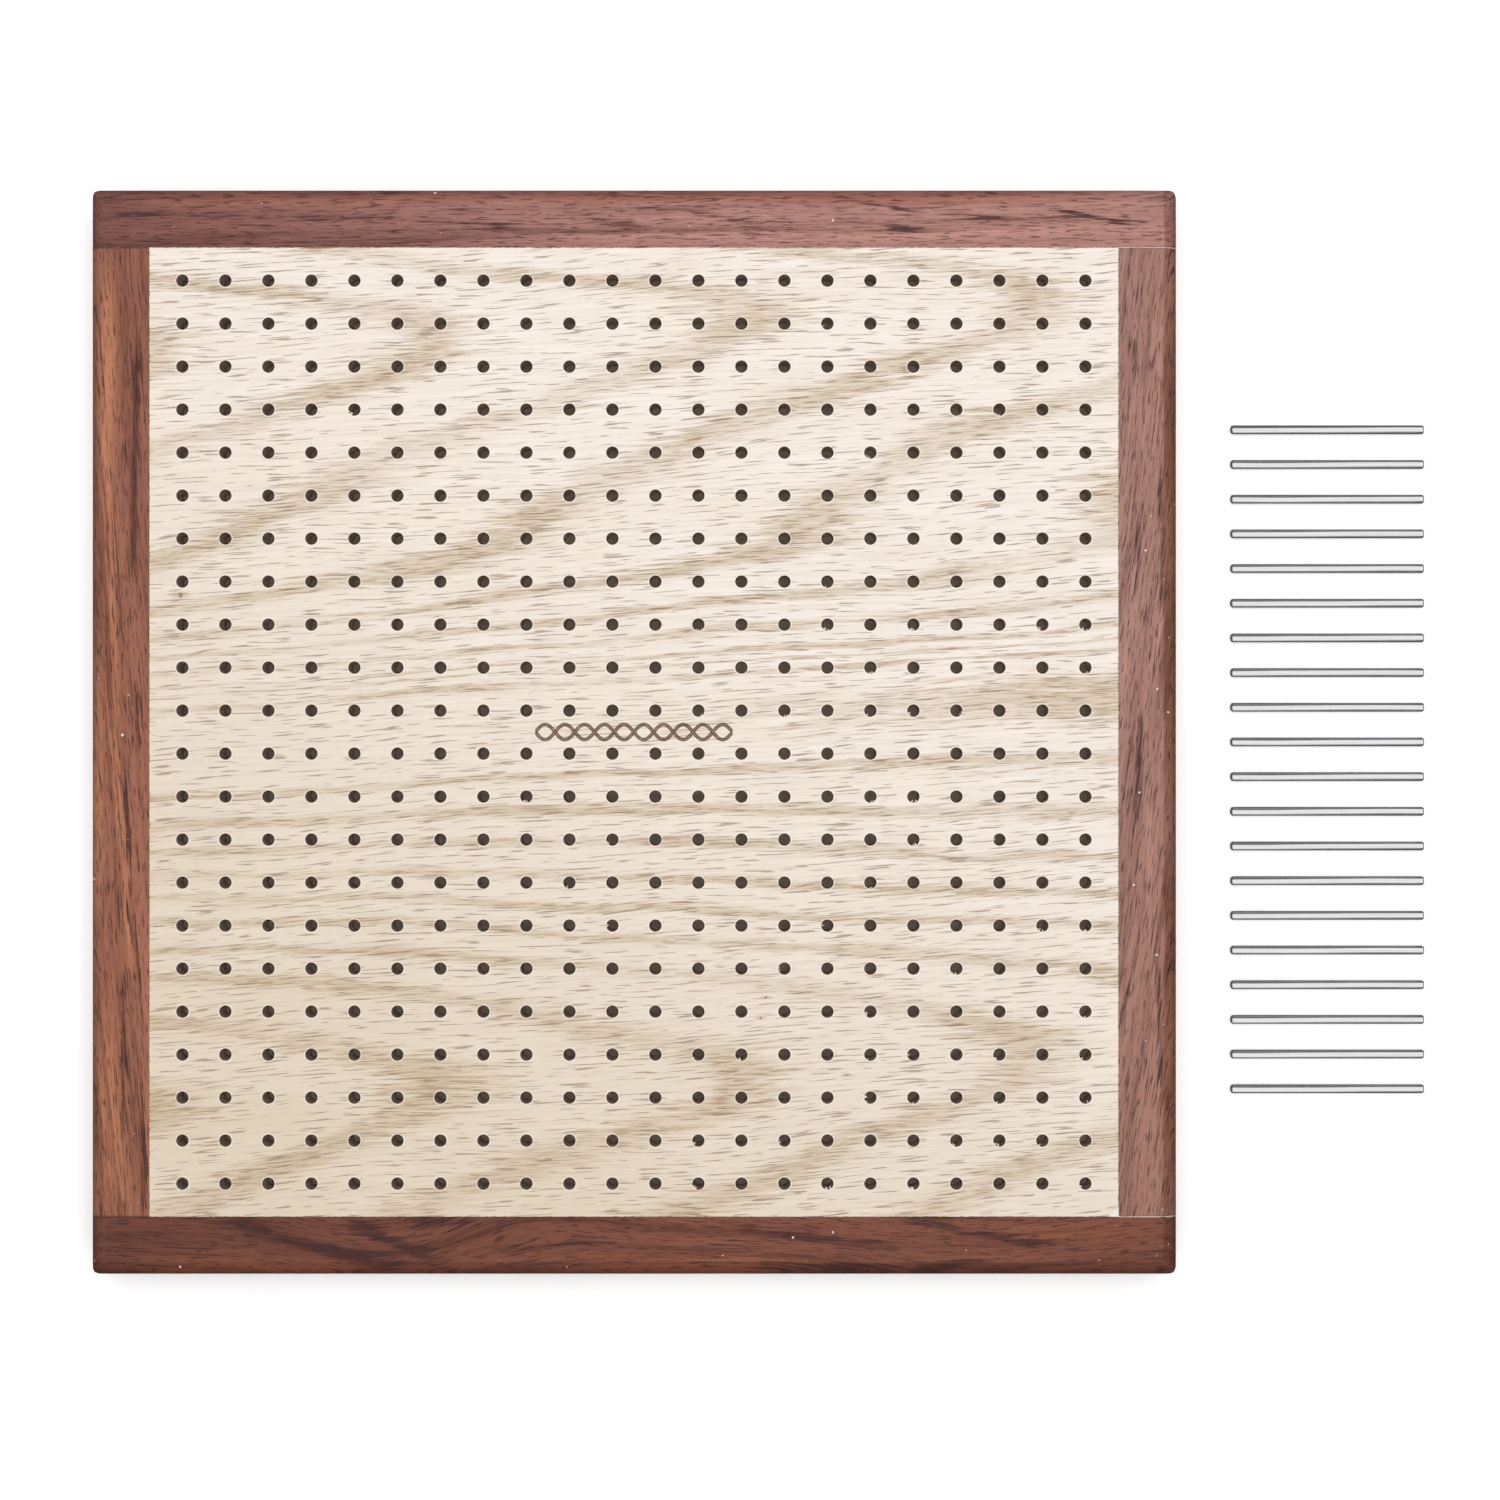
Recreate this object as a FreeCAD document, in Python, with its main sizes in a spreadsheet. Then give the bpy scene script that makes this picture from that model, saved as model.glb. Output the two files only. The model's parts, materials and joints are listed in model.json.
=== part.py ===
import FreeCAD, Part
import Sketcher

import math
import os

# Blocking board: a square peg panel in a hardwood frame, with a row of loose steel pins beside it.
# Millimetres. +Z is up, the origin is the centre of the board's underside, and the pins lie at +X.

Vector = FreeCAD.Vector
doc = FreeCAD.newDocument("blocking_board")

# ---------------------------------------------------------------- driving dimensions

SIZES = {
    # the grid of peg holes
    "hole_pitch": 12.0,
    "holes_per_side": 22,
    "hole_diameter": 3.4,
    "edge_margin": 9.25,            # from the outermost holes' centres to the frame's inner edge
    # the layers of the peg panel, counted from the top
    "face_thickness": 0.6,
    "core_thickness": 11.4,
    "board_height": 20.0,           # the back board fills what the face and the core leave
    # the frame
    "rail_width": 16.5,
    "edge_round": 4.0,              # round-over of the outer top edges
    "foot_round": 1.0,              # easing of the outer bottom edges
    "corner_round": 3.0,            # radius of the four corners, seen from above
    # the core's tongue and the frame's groove
    "tongue_length": 6.0,
    "tongue_thickness": 5.0,
    "tongue_gap": 0.5,              # room at the bottom of the groove
    # two dowels in each corner joint
    "dowel_diameter": 5.0,
    "dowel_length": 30.0,
    "dowel_rail_depth": 11.0,       # how far a dowel reaches into the rail
    "dowel_spacing": 8.0,           # between the lower and the upper dowel
    "dowel_clearance": 0.05,        # on the radius
    "dowel_end_gap": 1.0,           # glue room at the stile's end of the hole
    "dowel_chamfer": 0.6,
    # the loose pins
    "pin_count": 20,
    "pin_diameter": 2.5,
    "pin_length": 55.0,
    "pin_nose_round": 0.8,          # the end that goes into a hole
    "pin_tail_chamfer": 0.3,
    "pin_board_gap": 17.5,          # from the frame to the pins' noses
    "pin_spacing": 9.88,
    "pin_row_shift": -7.65,         # the row's middle, along Y
}

sheet = doc.addObject("Spreadsheet::Sheet", "Sizes")
for row, (alias, value) in enumerate(SIZES.items(), start=1):
    sheet.set(f"A{row}", alias)
    sheet.set(f"B{row}", str(value))
    sheet.setAlias(f"B{row}", alias)
doc.recompute()

# Sizes worked out from the sheet, as formulas for the features' expressions.
HOLE_SPAN = "(Sizes.hole_pitch * (Sizes.holes_per_side - 1))"
OPENING = f"({HOLE_SPAN} + 2 * Sizes.edge_margin)"
OUTER = f"({OPENING} + 2 * Sizes.rail_width)"
BACK_THICKNESS = "(Sizes.board_height - Sizes.face_thickness - Sizes.core_thickness)"
GROOVE_DEPTH = "(Sizes.tongue_length + Sizes.tongue_gap)"
DOWEL_INSET = f"((Sizes.rail_width - {GROOVE_DEPTH}) / 2)"      # middle of the wood outside the groove


def size(alias):
    """One plain number from the sheet."""
    return float(sheet.get(alias))


# ---------------------------------------------------------------- helpers

def new_body(name):
    body = doc.addObject("PartDesign::Body", name)
    body.Label = name
    return body


def origin_item(body, role):
    """One of the body's own origin planes or axes."""
    return next(item for item in body.Origin.OriginFeatures if item.Role == role)


def new_sketch(body, name, plane):
    sketch = body.newObject("Sketcher::SketchObject", name)
    sketch.AttachmentSupport = (origin_item(body, plane), [""])
    sketch.MapMode = "FlatFace"
    return sketch


def square_sketch(body, name, side):
    """A square centred on the Z axis, drawn at any size and then bound to a formula."""
    half = 10.0
    sketch = new_sketch(body, name, "XY_Plane")
    corners = [Vector(x, y, 0) for x, y in ((-half, -half), (half, -half), (half, half), (-half, half))]
    for i in range(4):
        sketch.addGeometry(Part.LineSegment(corners[i], corners[(i + 1) % 4]))
    for i in range(4):
        sketch.addConstraint(Sketcher.Constraint("Coincident", i, 2, (i + 1) % 4, 1))
        sketch.addConstraint(Sketcher.Constraint("Vertical" if i % 2 else "Horizontal", i))
    sketch.addConstraint(Sketcher.Constraint("Symmetric", 0, 1, 1, 2, -1, 1))
    sketch.addConstraint(Sketcher.Constraint("Equal", 0, 1))
    length = sketch.addConstraint(Sketcher.Constraint("Distance", 0, 2 * half))
    sketch.setExpression(f"Constraints[{length}]", side)
    return sketch


def circle_sketch(body, name, plane, diameter):
    """A circle on the sketch's origin, drawn at any size and then bound to a formula."""
    radius = 1.0
    sketch = new_sketch(body, name, plane)
    sketch.addGeometry(Part.Circle(Vector(0, 0, 0), Vector(0, 0, 1), radius))
    sketch.addConstraint(Sketcher.Constraint("Coincident", 0, 3, -1, 1))
    width = sketch.addConstraint(Sketcher.Constraint("Diameter", 0, 2 * radius))
    sketch.setExpression(f"Constraints[{width}]", diameter)
    return sketch


def pad(body, name, sketch, length):
    feature = body.newObject("PartDesign::Pad", name)
    feature.Profile = sketch
    feature.setExpression("Length", length)
    doc.recompute()
    return feature


def dress(body, kind, name, base, edges, radius):
    """A fillet or a chamfer on some of the base feature's edges."""
    feature = body.newObject(f"PartDesign::{kind}", name)
    feature.Base = (base, edges)
    feature.setExpression("Radius" if kind == "Fillet" else "Size", radius)
    doc.recompute()
    return feature


NEAR = 0.01                 # two places this close are the same place


def edges_where(shape, wanted):
    """Names of the edges whose middle point and direction satisfy a test."""
    names = []
    for number, edge in enumerate(shape.Edges, start=1):
        middle = edge.valueAt((edge.FirstParameter + edge.LastParameter) / 2)
        along = edge.Vertexes[-1].Point - edge.Vertexes[0].Point
        if wanted(middle, along):
            names.append(f"Edge{number}")
    return names


def place(thing, x="0", y="0", z="0"):
    """Bind the thing's place to formulas, and keep its rotation."""
    thing.setExpression("Placement.Base.x", x)
    thing.setExpression("Placement.Base.y", y)
    thing.setExpression("Placement.Base.z", z)


def box(name, length, width, height, x, y, z):
    """A box bound to formulas, centred on x and y and standing on z."""
    solid = doc.addObject("Part::Box", name)
    solid.setExpression("Length", length)
    solid.setExpression("Width", width)
    solid.setExpression("Height", height)
    place(solid, f"{x} - {length} / 2", f"{y} - {width} / 2", z)
    return solid


def expect_volume(thing, volume):
    """Stop if a cut missed, or if it took away too much."""
    allowed_error = 0.001 * volume
    found = thing.Shape.Volume
    if abs(found - volume) > allowed_error:
        raise RuntimeError(f"{thing.Label}: volume {found:.1f}, expected {volume:.1f}")


# ---------------------------------------------------------------- the peg panel

def cut_peg_holes(body, depth):
    """The square grid of peg holes, from the body's underside up to a depth that runs through it."""
    sketch = circle_sketch(body, f"{body.Name}_first_hole", "XY_Plane", "Sizes.hole_diameter")
    sketch.setExpression("AttachmentOffset.Base.x", f"-{HOLE_SPAN} / 2")
    sketch.setExpression("AttachmentOffset.Base.y", f"-{HOLE_SPAN} / 2")
    hole = body.newObject("PartDesign::Pocket", f"{body.Name}_hole")
    hole.Profile = sketch
    hole.setExpression("Length", depth)
    hole.Reversed = True
    doc.recompute()
    grid = body.newObject("PartDesign::LinearPattern", f"{body.Name}_hole_grid")
    grid.Originals = [hole]
    grid.Direction = (origin_item(body, "X_Axis"), [""])
    grid.Direction2 = (origin_item(body, "Y_Axis"), [""])
    for suffix in ("", "2"):
        grid.setExpression(f"Length{suffix}", HOLE_SPAN)
        grid.setExpression(f"Occurrences{suffix}", "Sizes.holes_per_side")
    body.Tip = grid
    doc.recompute()


def panel_layer(name, thickness, bottom):
    """A square layer that fills the frame's opening."""
    body = new_body(name)
    pad(body, f"{name}_layer", square_sketch(body, f"{name}_outline", OPENING), thickness)
    place(body, z=bottom)
    return body


hole_count = size("holes_per_side") ** 2
hole_area = math.pi * size("hole_diameter") ** 2 / 4
opening = size("hole_pitch") * (size("holes_per_side") - 1) + 2 * size("edge_margin")

face_veneer = panel_layer("face_veneer", "Sizes.face_thickness", "Sizes.board_height - Sizes.face_thickness")
cut_peg_holes(face_veneer, "Sizes.face_thickness")
expect_volume(face_veneer, (opening ** 2 - hole_count * hole_area) * size("face_thickness"))

peg_core = panel_layer("peg_core", "Sizes.core_thickness", BACK_THICKNESS)
tongue_outline = square_sketch(peg_core, "tongue_outline", f"{OPENING} + 2 * Sizes.tongue_length")
pad(peg_core, "tongue", tongue_outline, "Sizes.tongue_thickness")
cut_peg_holes(peg_core, "Sizes.core_thickness")
tongue_area = (opening + 2 * size("tongue_length")) ** 2 - opening ** 2
core_volume = (opening ** 2 - hole_count * hole_area) * size("core_thickness")
expect_volume(peg_core, core_volume + tongue_area * size("tongue_thickness"))

back_board = panel_layer("back_board", BACK_THICKNESS, "0")

# ---------------------------------------------------------------- the frame

def board_block(name, wanted, radius_edges):
    """A block of the whole board's size, with the edges of one direction rounded as listed."""
    body = new_body(name)
    feature = pad(body, f"{name}_block", square_sketch(body, f"{name}_outline", OUTER), "Sizes.board_height")
    for radius, at_height in radius_edges:
        edges = edges_where(feature.Shape, lambda middle, along: wanted(along) and at_height(middle.z))
        feature = dress(body, "Fillet", f"{name}_{radius}", feature, edges, f"Sizes.{radius}")
    return body


def is_top(z):
    return abs(z - size("board_height")) < NEAR


def is_bottom(z):
    return abs(z) < NEAR


def is_side(z):
    return not is_top(z) and not is_bottom(z)


def runs_along(direction):
    """A test for edges that run along one axis of the board."""
    return lambda along: abs(along.dot(direction)) > NEAR


# The outer form is what three passes leave: along the rails, along the stiles, and round the corners.
long_edges = [("edge_round", is_top), ("foot_round", is_bottom)]
rail_pass = board_block("rail_pass", runs_along(Vector(1, 0, 0)), long_edges)
stile_pass = board_block("stile_pass", runs_along(Vector(0, 1, 0)), long_edges)
corner_pass = board_block("corner_pass", runs_along(Vector(0, 0, 1)), [("corner_round", is_side)])
board_form = doc.addObject("Part::MultiCommon", "board_form")
board_form.Shapes = [rail_pass, stile_pass, corner_pass]

# The groove for the core's tongue. It stops short of the rails' ends, so it doesn't show outside.
groove_side = f"({OPENING} + 2 * {GROOVE_DEPTH})"
groove = box("groove", groove_side, groove_side, "Sizes.tongue_thickness", "0", "0", BACK_THICKNESS)


def place_dowel(thing, side, end, level):
    """Lay a dowel or its hole along Y, from the floor of the hole in the rail towards the stile."""
    thing.Placement.Rotation = FreeCAD.Rotation(Vector(1, 0, 0), 90 * end)
    place(
        thing,
        f"{side} * ({OUTER} / 2 - {DOWEL_INSET})",
        f"{end} * ({OPENING} / 2 + Sizes.dowel_rail_depth)",
        f"Sizes.board_height / 2 + {level} * Sizes.dowel_spacing / 2",
    )


def dowel_hole(name, side, end, level):
    hole = doc.addObject("Part::Cylinder", f"{name}_hole")
    hole.setExpression("Radius", "Sizes.dowel_diameter / 2 + Sizes.dowel_clearance")
    hole.setExpression("Height", "Sizes.dowel_length + Sizes.dowel_end_gap")
    place_dowel(hole, side, end, level)
    return hole


def dowel(name, side, end, level):
    body = new_body(name)
    section = circle_sketch(body, f"{name}_section", "XY_Plane", "Sizes.dowel_diameter")
    rod = pad(body, f"{name}_rod", section, "Sizes.dowel_length")
    rims = edges_where(rod.Shape, lambda middle, along: along.Length < NEAR)
    dress(body, "Chamfer", f"{name}_rims", rod, rims, "Sizes.dowel_chamfer")
    place_dowel(body, side, end, level)
    return body


DOWELS = {
    f"dowel_{end_name}_{side_name}_{level_name}": (side, end, level)
    for end_name, end in (("top", 1), ("bottom", -1))
    for side_name, side in (("left", -1), ("right", 1))
    for level_name, level in (("low", -1), ("high", 1))
}
dowel_holes = doc.addObject("Part::MultiFuse", "dowel_holes")
dowel_holes.Shapes = [dowel_hole(name, *where) for name, where in DOWELS.items()]
dowels = [dowel(name, *where) for name, where in DOWELS.items()]


def frame_member(name, length, width, x, y):
    """One member of the frame: its share of the outer form, with its groove and its dowel holes."""
    blank = doc.addObject("Part::MultiCommon", f"{name}_blank")
    blank.Shapes = [board_form, box(f"{name}_share", length, width, "Sizes.board_height", x, y, "0")]
    grooved = doc.addObject("Part::Cut", f"{name}_grooved")
    grooved.Base = blank
    grooved.Tool = groove
    member = doc.addObject("Part::Cut", name)
    member.Base = grooved
    member.Tool = dowel_holes
    member.Label = name
    doc.recompute()
    return member


MIDDLE = f"({OPENING} + Sizes.rail_width) / 2"          # from the centre to the middle of a member
top_rail = frame_member("top_rail", OUTER, "Sizes.rail_width", "0", MIDDLE)
bottom_rail = frame_member("bottom_rail", OUTER, "Sizes.rail_width", "0", f"-{MIDDLE}")
left_stile = frame_member("left_stile", "Sizes.rail_width", OPENING, f"-{MIDDLE}", "0")
right_stile = frame_member("right_stile", "Sizes.rail_width", OPENING, MIDDLE, "0")

# ---------------------------------------------------------------- the loose pins

def rim_at(shape, x):
    """The round edge of a rod along X at one of its ends."""
    return edges_where(shape, lambda middle, along: along.Length < NEAR and abs(middle.x - x) < NEAR)


def pin(number):
    """A pin lying along X on the table, with its rounded nose towards the board."""
    name = f"pin_{number:02d}"
    body = new_body(name)
    section = circle_sketch(body, f"{name}_section", "YZ_Plane", "Sizes.pin_diameter")
    rod = pad(body, f"{name}_rod", section, "Sizes.pin_length")
    nose = dress(body, "Fillet", f"{name}_nose", rod, rim_at(rod.Shape, 0), "Sizes.pin_nose_round")
    tail_rim = rim_at(nose.Shape, size("pin_length"))
    dress(body, "Chamfer", f"{name}_tail", nose, tail_rim, "Sizes.pin_tail_chamfer")
    place(
        body,
        f"{OUTER} / 2 + Sizes.pin_board_gap",
        f"Sizes.pin_row_shift + ((Sizes.pin_count + 1) / 2 - {number}) * Sizes.pin_spacing",
        "Sizes.pin_diameter / 2",
    )
    return body


pins = [pin(number) for number in range(1, int(size("pin_count")) + 1)]
doc.recompute()

# ---------------------------------------------------------------- checks and export

SUB_PARTS = [top_rail, bottom_rail, left_stile, right_stile, face_veneer, peg_core, back_board]
SUB_PARTS += dowels + pins

failed = [thing.Label for thing in doc.Objects if {"Invalid", "Error"} & set(thing.State)]
if failed:
    raise RuntimeError(f"failed objects: {failed}")
for thing in SUB_PARTS:
    if thing.Shape.isNull() or not thing.Shape.isValid():
        raise RuntimeError(f"bad shape: {thing.Label}")
    if len(thing.Shape.Solids) != 1:
        raise RuntimeError(f"{thing.Label} is {len(thing.Shape.Solids)} solids")

os.makedirs("parts", exist_ok=True)
for thing in SUB_PARTS:
    thing.Shape.exportStep(f"parts/{thing.Label}.step")
print(f"{len(SUB_PARTS)} sub-parts written")
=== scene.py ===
import json
import math
import random

import bmesh
import bpy
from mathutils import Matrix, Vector


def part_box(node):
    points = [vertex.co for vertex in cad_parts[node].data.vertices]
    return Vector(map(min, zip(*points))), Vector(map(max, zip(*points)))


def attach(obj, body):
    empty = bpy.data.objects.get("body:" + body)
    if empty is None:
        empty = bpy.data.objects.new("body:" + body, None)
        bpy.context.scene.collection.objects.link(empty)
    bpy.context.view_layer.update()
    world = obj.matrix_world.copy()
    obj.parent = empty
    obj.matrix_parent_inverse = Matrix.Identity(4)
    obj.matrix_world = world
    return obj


# A blocking board: a pale oak peg panel in a walnut frame, with a row of loose steel pins beside it.
# Metres, in the CAD model's own frame: +Z up, and the origin under the middle of the board. Near is
# towards -Y, far is towards +Y, left is towards -X and right is towards +X.

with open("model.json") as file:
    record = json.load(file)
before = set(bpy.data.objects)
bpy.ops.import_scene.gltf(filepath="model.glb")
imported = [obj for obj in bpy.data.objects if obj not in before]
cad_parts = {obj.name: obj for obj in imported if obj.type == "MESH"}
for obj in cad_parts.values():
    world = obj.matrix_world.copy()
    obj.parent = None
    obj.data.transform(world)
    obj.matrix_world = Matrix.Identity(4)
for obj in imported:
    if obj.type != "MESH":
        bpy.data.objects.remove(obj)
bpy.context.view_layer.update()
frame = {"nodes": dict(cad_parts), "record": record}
nodes = frame["nodes"]

MM = 0.001

# ---------------------------------------------------------------- places, read from the CAD model

panel_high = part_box("face_veneer")[1]
PANEL_HALF = panel_high.x
TOP = panel_high.z
FRAME_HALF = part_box("top_rail")[1].x
corner_hole = next(m for m in frame["record"]["mounts"] if m["name"] == "peg_hole_top_right")
HOLE_REACH = corner_hole["pos_m"][0]            # from the middle to the outermost row of holes
HOLE_RADIUS = corner_hole["dims"]["r_mm"] * MM
HOLES_PER_SIDE = 22
HOLE_PITCH = 2 * HOLE_REACH / (HOLES_PER_SIDE - 1)
EDGE_ROUND = 4 * MM                             # the round-over of the frame's upper outer edges
pin_low, pin_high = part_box("pin_01")
PIN_ROW = (pin_low.y + pin_high.y) / 2
PIN_SPACING = pin_low.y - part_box("pin_02")[0].y

# ---------------------------------------------------------------- values that several materials share

PORE_DEPTH = 0.05 * MM              # of the wood's open pores
WOOD_GLOSS = 0.25                   # specular level: wood mirrors less than the shader's own 0.5


# ---------------------------------------------------------------- a small language for shader nodes

def srgb(red, green, blue):
    """An 8-bit screen colour as the linear colour that a shader takes."""
    def linear(value):
        value /= 255
        return value / 12.92 if value <= 0.04045 else ((value + 0.055) / 1.055) ** 2.4
    return (linear(red), linear(green), linear(blue), 1.0)


class Shader:
    """A material's node tree, with one method for each kind of node. Methods return sockets."""

    def __init__(self, name):
        self.material = bpy.data.materials.new(name)
        self.material.use_nodes = True
        self.tree = self.material.node_tree
        self.surface = self.tree.nodes["Principled BSDF"]
        coordinates = self.add("ShaderNodeTexCoord")
        self.place = coordinates.outputs["Object"]
        parts = self.add("ShaderNodeSeparateXYZ", Vector=self.place)
        self.x, self.y, self.z = parts.outputs

    def add(self, kind, **inputs):
        node = self.tree.nodes.new(kind)
        for name, value in inputs.items():
            self.feed(node.inputs[name.replace("_", " ")], value)
        return node

    def feed(self, socket, value):
        if isinstance(value, bpy.types.NodeSocket):
            self.tree.links.new(value, socket)
        else:
            socket.default_value = value

    def maths(self, operation, *values):
        node = self.tree.nodes.new("ShaderNodeMath")
        node.operation = operation
        for socket, value in zip(node.inputs, values):
            self.feed(socket, value)
        return node.outputs[0]

    def plus(self, *values):
        total = values[0]
        for value in values[1:]:
            total = self.maths("ADD", total, value)
        return total

    def minus(self, a, b):
        return self.maths("SUBTRACT", a, b)

    def times(self, *values):
        total = values[0]
        for value in values[1:]:
            total = self.maths("MULTIPLY", total, value)
        return total

    def ramp(self, value, low, high, start=0.0, end=1.0):
        """A smooth step from start to end as the value goes from low to high."""
        node = self.add("ShaderNodeMapRange", Value=value)
        node.interpolation_type = "SMOOTHSTEP"
        for name, number in (("From Min", low), ("From Max", high), ("To Min", start), ("To Max", end)):
            self.feed(node.inputs[name], number)
        return node.outputs[0]

    def vector(self, x, y, z=0.0):
        return self.add("ShaderNodeCombineXYZ", X=x, Y=y, Z=z).outputs[0]

    def noise(self, vector, detail=2.0, roughness=0.5, scale=1.0):
        node = self.add("ShaderNodeTexNoise", Vector=vector, Scale=scale, Detail=detail, Roughness=roughness)
        return node.outputs["Fac"]

    def noise_over(self, place, cells_per_metre, seed=0.0, **settings):
        """Noise over two or three coordinates, with its own cells per metre along each of them.
        Another seed gives another noise."""
        scaled = [self.times(value, cells) for value, cells in zip(place, cells_per_metre)]
        if len(scaled) == 2:
            scaled.append(seed)
        elif seed:
            scaled[2] = self.plus(scaled[2], seed)
        return self.noise(self.vector(*scaled), **settings)

    def centred(self, value, width):
        """A value from 0 to 1, moved to lie about zero and stretched to the width."""
        return self.times(self.minus(value, 0.5), width)

    def mix(self, factor, a, b, blend="MIX"):
        node = self.tree.nodes.new("ShaderNodeMix")
        node.data_type = "RGBA"
        node.blend_type = blend
        self.feed(node.inputs[0], factor)
        self.feed(node.inputs[6], a)
        self.feed(node.inputs[7], b)
        return node.outputs[2]

    def tint(self, colour, mask, strength, tone):
        """A colour turned towards a tone where the mask is 1, as far as the strength says."""
        return self.mix(self.times(mask, strength), colour, tone)

    def scaled(self, colour, factor):
        """A colour made darker or lighter by a factor."""
        node = self.tree.nodes.new("ShaderNodeVectorMath")
        node.operation = "SCALE"
        self.feed(node.inputs[0], colour)
        self.feed(node.inputs["Scale"], factor)
        return node.outputs[0]

    def curve(self, value, points):
        """A smooth curve through (input, output) points, both from 0 to 1."""
        node = self.add("ShaderNodeFloatCurve", Value=value)
        line = node.mapping.curves[0]
        while len(line.points) < len(points):
            line.points.new(0.5, 0.5)
        for point, place in zip(line.points, points):
            point.location = place
        node.mapping.update()
        return node.outputs[0]

    def finish(self, colour, roughness, height=None, distance=0.0, strength=1.0, **fixed):
        """Wire the surface up. The fixed values go straight on the shader's own sockets."""
        self.feed(self.surface.inputs["Base Color"], colour)
        self.feed(self.surface.inputs["Roughness"], roughness)
        if height is not None:
            bump = self.add("ShaderNodeBump", Height=height, Distance=distance, Strength=strength)
            self.feed(self.surface.inputs["Normal"], bump.outputs[0])
        for name, value in fixed.items():
            self.surface.inputs[name.replace("_", " ")].default_value = value
        return self.material


# ---------------------------------------------------------------- the veneer

# The figure of the face veneer, given as a list. Its dark bands are the growth rings that a flat cut
# crosses: the count of rings goes up along the grain, and across it as this profile does. Where the
# profile is low the bands close into pointed arches, and where it is steep they run side by side.
# Each point is (distance from the panel's far edge, in mm; rings).
GRAIN_PROFILE = [
    (0, 1.4), (10, 0.75), (17, 0.25), (26, 0.0), (43, 0.5), (57, 1.05), (77, 1.7), (91, 2.3),
    (98, 3.0), (107, 4.2), (119, 6.4), (136, 9.6), (155, 8.2), (173, 5.8), (193, 2.95), (207, 1.35),
    (222, 0.45), (239, 0.0), (252, 0.4), (284, 1.6),
]
PROFILE_LENGTH = 284
PROFILE_HEIGHT = 12
RING_LENGTH = 82.6 * MM             # along the grain, from one arch's tip to the next
GRAIN_SLOPE = 0.06                  # the grain rises a little towards +X
FIGURE_SHIFT = 4.9 * MM             # how far beyond the panel's far edge the profile starts
BAND_SHIFT = 0.22                   # moves every band along the grain, in rings
PIN_KNOTS = [(-126.5, 38.6, 1.0), (35.4, -81.2, 0.6), (36.8, -75.0, 0.6)]       # x, y, radius, in mm
STAIN_STRETCH = 0.10                # a knot's stain is drawn out along the grain by 1 / sqrt of this


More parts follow.
